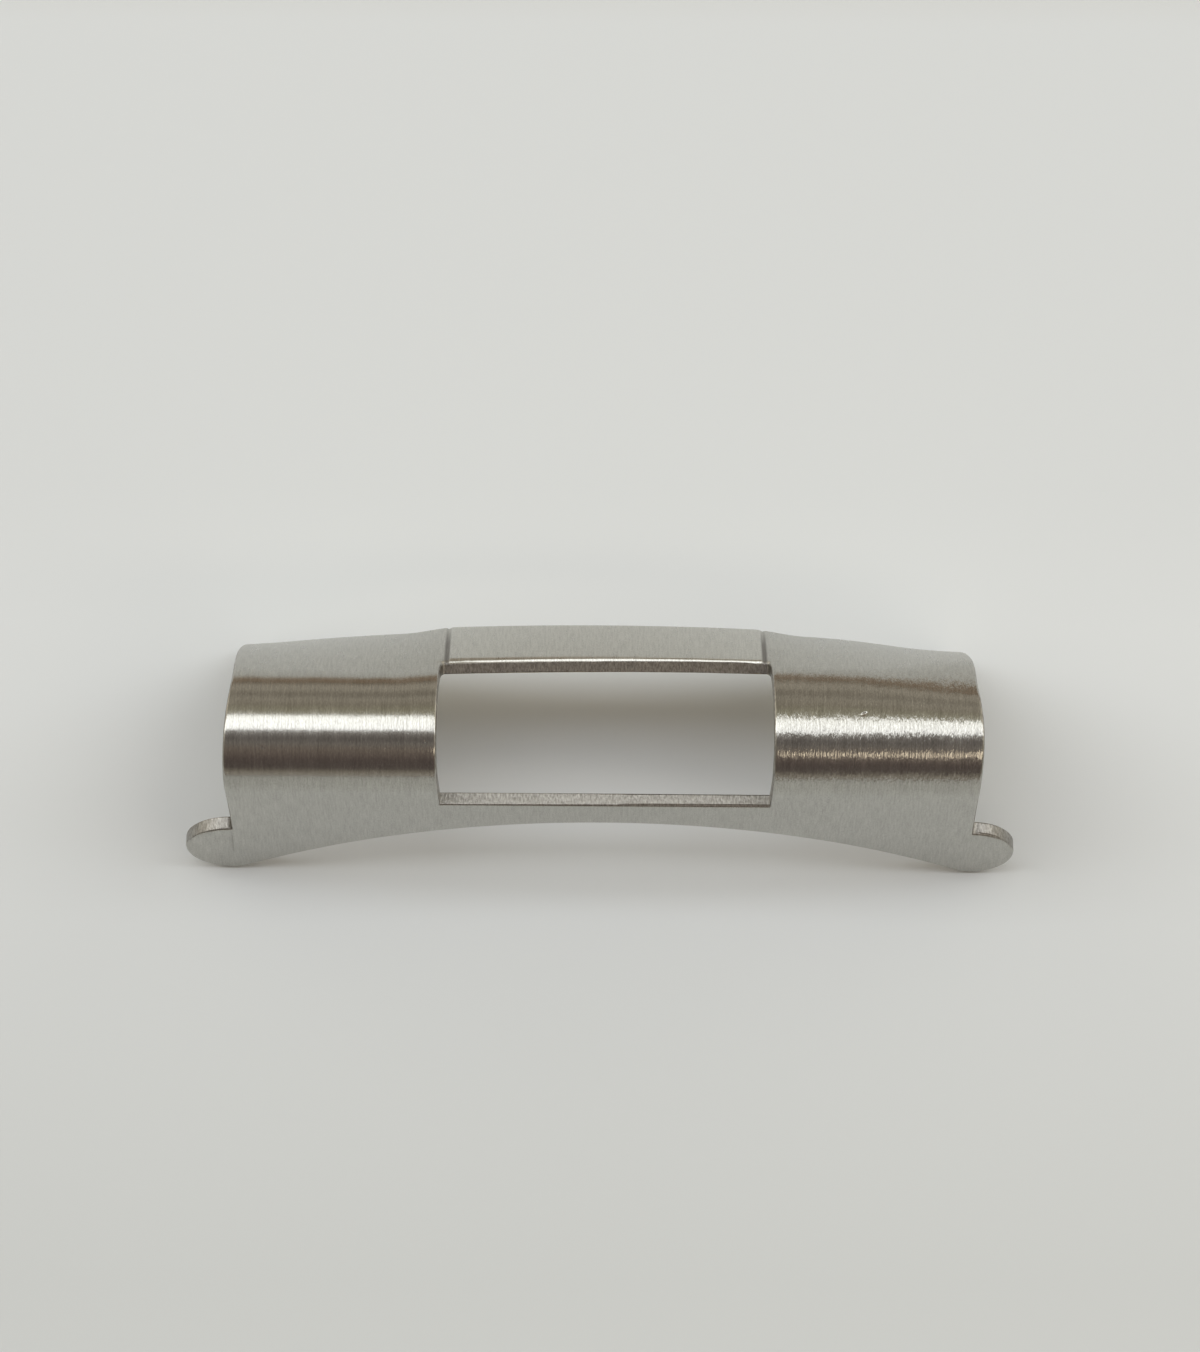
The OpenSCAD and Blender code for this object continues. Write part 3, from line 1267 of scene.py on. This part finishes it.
@dataclass(frozen=True)
class Floor:
    """The pale paper that the link stands on, and the brown table beyond its far edge, seen in the steel."""

    height: float
    paper_edges: tuple[float, float, float, float] = (-0.3, 0.3, -0.5, 0.03)
    # Painted light and shade along the paper: painted shade towards its near end, a painted pool of light
    # just beyond the top plate's case edge, and painted shade towards its far edge, where it turns brownish
    # grey
    paper_painted_light_tones: Tones = (
        (-14.0, "dce0e1"), (-2.0, "e8ecee"), (4.0, "ecf0f2"), (8.0, "e9edef"), (21.5, "eaeef0"),
        (30.0, "c9c2b4"),
    )
    paper_t: float = 0.0004
    table_edges: tuple[float, float, float, float] = (-1.2, 1.2, -1.2, 1.2)
    table_tones: Tones = ((0.0, "a08a74"), (1.0, "a08a74"))

    def build(self) -> list[bpy.types.Object]:
        """Builds the paper and the table.

        Returns:
            Their objects.
        """
        paper = Tabletop("paper", self.height, self.paper_edges, self.paper_painted_light_tones)
        table = Tabletop("table", self.height - self.paper_t, self.table_edges, self.table_tones)
        return [paper.build(), table.build()]


@dataclass(frozen=True)
class Camera:
    """The photograph's viewpoint, in millimetres, degrees and pixels of its 1200 x 1352 frame."""

    tilt: float = 11.4
    roll: float = 0.42
    distance: float = 147.0
    px_per_mm: float = 37.45
    origin_px: Pair = (602.95, 739.1)
    frame_px: tuple[int, int] = (1200, 1352)
    sensor_mm: float = 36.0
    clip_m: Pair = (0.005, 10.0)

    def build(self) -> bpy.types.Object:
        """Places the camera so that the spring bar's axis falls on its pixel, and makes it the scene's.

        Returns:
            The camera's object.
        """
        elevation = math.radians(90.0 - self.tilt)
        roll = math.radians(self.roll)
        right = Vector((1.0, 0.0, 0.0))
        up = Vector((0.0, math.sin(elevation), math.cos(elevation)))
        back = Vector((0.0, -math.cos(elevation), math.sin(elevation)))
        cam_right = right * math.cos(roll) + up * math.sin(roll)
        cam_up = up * math.cos(roll) - right * math.sin(roll)
        off_x = (self.origin_px[0] - self.frame_px[0] / 2) / self.px_per_mm
        off_y = -(self.origin_px[1] - self.frame_px[1] / 2) / self.px_per_mm
        place = (back * self.distance - cam_right * off_x - cam_up * off_y) * MM
        data = bpy.data.cameras.new("camera")
        data.sensor_fit = "VERTICAL"
        data.sensor_height = self.sensor_mm
        data.lens = self.sensor_mm * self.px_per_mm * self.distance / self.frame_px[1]
        data.clip_start, data.clip_end = self.clip_m
        obj = new_object("camera", data)
        rotation = Matrix((cam_right, cam_up, back)).transposed()
        obj.matrix_world = Matrix.Translation(place) @ rotation.to_4x4()
        bpy.context.scene.camera = obj
        return obj


@dataclass(frozen=True)
class SoftBox:
    """A soft box that faces the link, with its width along X. Angles are in degrees and lengths in metres.

    The turn about X runs from 0 at the horizon at +Y over 90 at the zenith, and the sway is towards +X. The
    box may stand aside in its own plane, towards +X.
    """

    name: str
    turn: float
    sway: float
    width: float
    height: float
    distance: float
    radiance: float
    colour: str
    aside: float = 0.0

    def build(self) -> bpy.types.Object:
        """Builds the lamp, with a power of pi x area x radiance.

        Returns:
            The lamp's object.
        """
        data = bpy.data.lights.new(self.name, "AREA")
        data.shape = "RECTANGLE"
        data.size, data.size_y = self.width, self.height
        data.energy = math.pi * self.width * self.height * self.radiance
        data.color = linear(self.colour)[:3]
        turn, sway = math.radians(self.turn), math.radians(self.sway)
        back = Vector((math.sin(sway), math.cos(sway) * math.cos(turn), math.cos(sway) * math.sin(turn)))
        down = Vector((0.0, -math.sin(turn), math.cos(turn)))
        along = down.cross(back)
        obj = new_object(self.name, data)
        rotation = Matrix((along, down, back)).transposed()
        obj.matrix_world = Matrix.Translation(back * self.distance - along * self.aside) @ rotation.to_4x4()
        return obj


@dataclass(frozen=True)
class Studio:
    """The room round the table: its pale walls at both sides, its brown ceiling and its lamps.

    Soft boxes stand high on the far side, and a small warm one at the near right throws a line on the fold.
    The room's colours run by the angle about X, from the horizon at +Y over the zenith to the horizon at -Y.
    A side wall's run by the direction's Y, from its near end to its far end, where the light comes from. The
    walls begin and are full at a share of the direction along X.
    """

    room: Tones = (
        (0.0, "867d71"), (4.0, "a49b8d"), (8.0, "bcb4a7"), (16.0, "b7afa1"), (21.0, "9f978a"),
        (27.0, "948c80"), (33.0, "b5aea0"), (38.0, "ada496"), (44.0, "9a9284"), (51.0, "a59f8a"),
        (60.0, "aca690"), (88.0, "9a948f"), (95.0, "87807c"), (104.0, "706a67"), (113.0, "8a847f"),
        (124.0, "877b72"), (136.0, "786c66"), (145.0, "685d59"), (162.0, "685f5b"), (167.0, "81796f"),
        (171.0, "9e968a"), (176.0, "ada69c"), (180.0, "b3aea6"),
    )
    left_wall: Tones = ((-0.5, "857e72"), (0.5, "fbf3e0"))
    right_wall: Tones = ((-0.5, "90887a"), (0.5, "fff8e6"))
    wall_from: float = 0.3
    wall_to: float = 0.75
    boxes: tuple[SoftBox, ...] = (
        SoftBox("far_box_left", 74.75, 0.0, 1.1, 0.27, 0.6, 2.35, "f6faff", aside=-0.55),
        SoftBox("far_box_middle", 74.75, 0.0, 0.2, 0.27, 0.6, 1.2, "f6faff", aside=0.1),
        SoftBox("far_box_right", 74.75, 0.0, 0.9, 0.27, 0.6, 2.2, "f6faff", aside=0.65),
        SoftBox("warm_ledge", 127.0, 29.0, 0.054, 0.009, 0.075, 2.0, "fff0d8"),
    )

    def build(self) -> list[bpy.types.Object]:
        """Sets the world and builds the soft boxes.

        Returns:
            The lamps' objects.
        """
        world = bpy.data.worlds.new("room")
        bpy.context.scene.world = world
        world.use_nodes = True
        world.node_tree.nodes.clear()
        way = add_node(world, "SeparateXYZ", Vector=add_node(world, "TexCoord").outputs["Generated"]).outputs
        angle = add_node(world, "Math", operation="ARCTAN2", i0=way["Z"], i1=way["Y"])
        stops = tuple((math.radians(degrees), colour) for degrees, colour in self.room)
        colour = tones_along(world, angle, stops)
        for wall, sign in ((self.left_wall, -1.0), (self.right_wall, 1.0)):
            share = add_node(
                world, "MapRange", interpolation_type="SMOOTHSTEP", Value=way["X"],
                From_Min=sign * self.wall_from, From_Max=sign * self.wall_to,
            )
            tone = tones_along(world, way["Y"], wall)
            colour = add_node(world, "Mix", data_type="RGBA", Factor=share, A=colour, B=tone)
        background = add_node(world, "Background", Color=colour, Strength=1.0)
        add_node(world, "OutputWorld", Surface=background)
        return [box.build() for box in self.boxes]


def main() -> None:
    """Builds the camera, the studio, the floor and the link, in that order."""
    logging.basicConfig(level=logging.INFO, format="%(name)s: %(message)s")
    bpy.context.scene.view_settings.view_transform = "Standard"
    strip = FoldedStrip.from_frame()
    floor_z = CAD_BOX[0][2]
    Camera().build()
    for part in (Studio(), Floor(height=floor_z), EndLink(strip)):
        for obj in part.build():
            faces = len(obj.data.polygons) if obj.type == "MESH" else 0
            LOG.info("%s: %s, %d faces", type(part).__name__, obj.name, faces)


if __name__ == "__main__":
    main()
